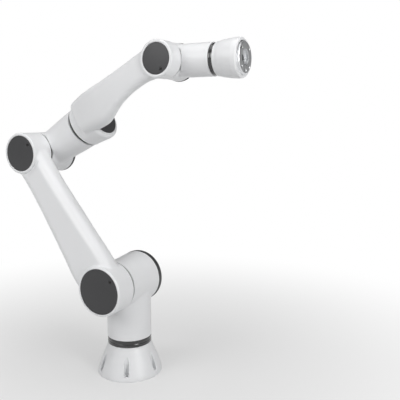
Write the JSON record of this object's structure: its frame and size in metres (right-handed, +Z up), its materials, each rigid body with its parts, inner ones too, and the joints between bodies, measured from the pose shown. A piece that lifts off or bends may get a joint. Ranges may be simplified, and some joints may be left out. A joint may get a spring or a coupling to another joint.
{
  "type": "collaborative robot arm",
  "caption": "Jointed collaborative robot arm with rounded white castings, round dark covers at its joints, a slotted conical foot and a round tool flange.",
  "frame": {"origin": "centre of the foot's underside, on the first joint's axis", "axes": "+Z up along the first joint's axis; the arm lies in the XZ plane with its tool flange facing +X, and the links sit on the -Y side of the joint modules"},
  "size_m": [0.5851, 0.1875, 0.7522],
  "materials": {
    "white_paint": "glossy off-white enamel on cast aluminium",
    "charcoal_plastic": "finely textured satin charcoal plastic",
    "dark_ring": "polished dark ring in the joint groove",
    "machined_aluminium": "turned and clear-anodised",
    "bearing_steel": "ground steel",
    "stator_iron": "laminated iron with copper windings",
    "black_screw": "black oxide",
    "connector_black": "moulded black plastic"
  },
  "bodies": {
    "base": {"base_casting": "white_paint", "base_bottom_plate": "machined_aluminium", "joint1_ring": "dark_ring", "power_socket": "machined_aluminium", "socket_insert": "connector_black", "joint1_gear": "bearing_steel", "joint1_stator": "stator_iron"},
    "rotor1": {"joint1_rotor": "machined_aluminium"},
    "shoulder": {"shoulder_housing": "white_paint", "shoulder_far_cap": "charcoal_plastic", "joint2_ring": "dark_ring", "joint1_bearing": "bearing_steel", "joint2_gear": "bearing_steel", "joint2_stator": "stator_iron"},
    "rotor2": {"joint2_rotor": "machined_aluminium"},
    "upper_arm": {"upper_arm_shell": "white_paint", "shoulder_cap": "charcoal_plastic", "shoulder_cap_screw": "black_screw", "elbow_cap": "charcoal_plastic", "elbow_cap_screw": "black_screw", "joint2_bearing": "bearing_steel", "joint3_bearing": "bearing_steel"},
    "elbow": {"elbow_housing": "white_paint", "elbow_far_cap": "charcoal_plastic", "joint3_ring": "dark_ring", "joint4_ring": "dark_ring", "joint3_gear": "bearing_steel", "joint3_stator": "stator_iron", "joint4_bearing": "bearing_steel"},
    "rotor3": {"joint3_rotor": "machined_aluminium"},
    "forearm": {"forearm_shell": "white_paint", "forearm_end_cap": "charcoal_plastic", "wrist_cap": "charcoal_plastic", "wrist_cap_screw": "black_screw", "joint4_gear": "bearing_steel", "joint4_stator": "stator_iron", "joint5_bearing": "bearing_steel"},
    "rotor4": {"joint4_rotor": "machined_aluminium"},
    "wrist": {"wrist_housing": "white_paint", "wrist_far_cap": "charcoal_plastic", "joint5_ring": "dark_ring", "joint6_ring": "dark_ring", "joint5_gear": "bearing_steel", "joint5_stator": "stator_iron", "joint6_bearing": "bearing_steel"},
    "rotor5": {"joint5_rotor": "machined_aluminium"},
    "flange": {"flange_housing": "white_paint", "tool_flange": "machined_aluminium", "joint6_gear": "bearing_steel", "joint6_stator": "stator_iron"},
    "rotor6": {"joint6_rotor": "machined_aluminium"}
  },
  "joints": [
    {"name": "joint1_turn", "type": "hinge", "parent": "base", "child": "shoulder", "pos_m": [0, 0, 0.08], "axis": [0, 0, 1], "range_deg": [-360, 360]},
    {"name": "joint2_swing", "type": "hinge", "parent": "shoulder", "child": "upper_arm", "pos_m": [0, 0, 0.22], "axis": [0, 1, 0], "range_deg": [-95.2, 174.8]},
    {"name": "joint3_bend", "type": "hinge", "parent": "upper_arm", "child": "elbow", "pos_m": [-0.24324, 0, 0.51195], "axis": [0, -1, 0], "range_deg": [-48.6, 251.4]},
    {"name": "joint4_roll", "type": "hinge", "parent": "elbow", "child": "forearm", "pos_m": [-0.24324, 0.012, 0.51195], "axis": [0.8796, 0, 0.4756], "range_deg": [-360, 360]},
    {"name": "joint5_bend", "type": "hinge", "parent": "forearm", "child": "wrist", "pos_m": [0.12621, 0, 0.71171], "axis": [0, 1, 0], "range_deg": [-168.4, 111.6]},
    {"name": "joint6_roll", "type": "hinge", "parent": "wrist", "child": "flange", "pos_m": [0.12621, 0, 0.71171], "axis": [1, 0, 0], "range_deg": [-360, 360]},
    {"name": "rotor1_spin", "type": "hinge", "parent": "base", "child": "rotor1", "pos_m": [0, 0, 0.05], "axis": [0, 0, 1], "continuous": true},
    {"name": "rotor2_spin", "type": "hinge", "parent": "shoulder", "child": "rotor2", "pos_m": [0, 0, 0.22], "axis": [0, 1, 0], "continuous": true},
    {"name": "rotor3_spin", "type": "hinge", "parent": "elbow", "child": "rotor3", "pos_m": [-0.24324, 0, 0.51195], "axis": [0, -1, 0], "continuous": true},
    {"name": "rotor4_spin", "type": "hinge", "parent": "forearm", "child": "rotor4", "pos_m": [-0.24324, 0.012, 0.51195], "axis": [0.8796, 0, 0.4756], "continuous": true},
    {"name": "rotor5_spin", "type": "hinge", "parent": "wrist", "child": "rotor5", "pos_m": [0.12621, 0, 0.71171], "axis": [0, 1, 0], "continuous": true},
    {"name": "rotor6_spin", "type": "hinge", "parent": "flange", "child": "rotor6", "pos_m": [0.12621, 0, 0.71171], "axis": [1, 0, 0], "continuous": true}
  ],
  "couplings": [
    {"joint": "rotor1_spin", "follows": "joint1_turn", "ratio": -101},
    {"joint": "rotor2_spin", "follows": "joint2_swing", "ratio": -101},
    {"joint": "rotor3_spin", "follows": "joint3_bend", "ratio": 101},
    {"joint": "rotor4_spin", "follows": "joint4_roll", "ratio": 101},
    {"joint": "rotor5_spin", "follows": "joint5_bend", "ratio": 101},
    {"joint": "rotor6_spin", "follows": "joint6_roll", "ratio": 101}
  ]
}
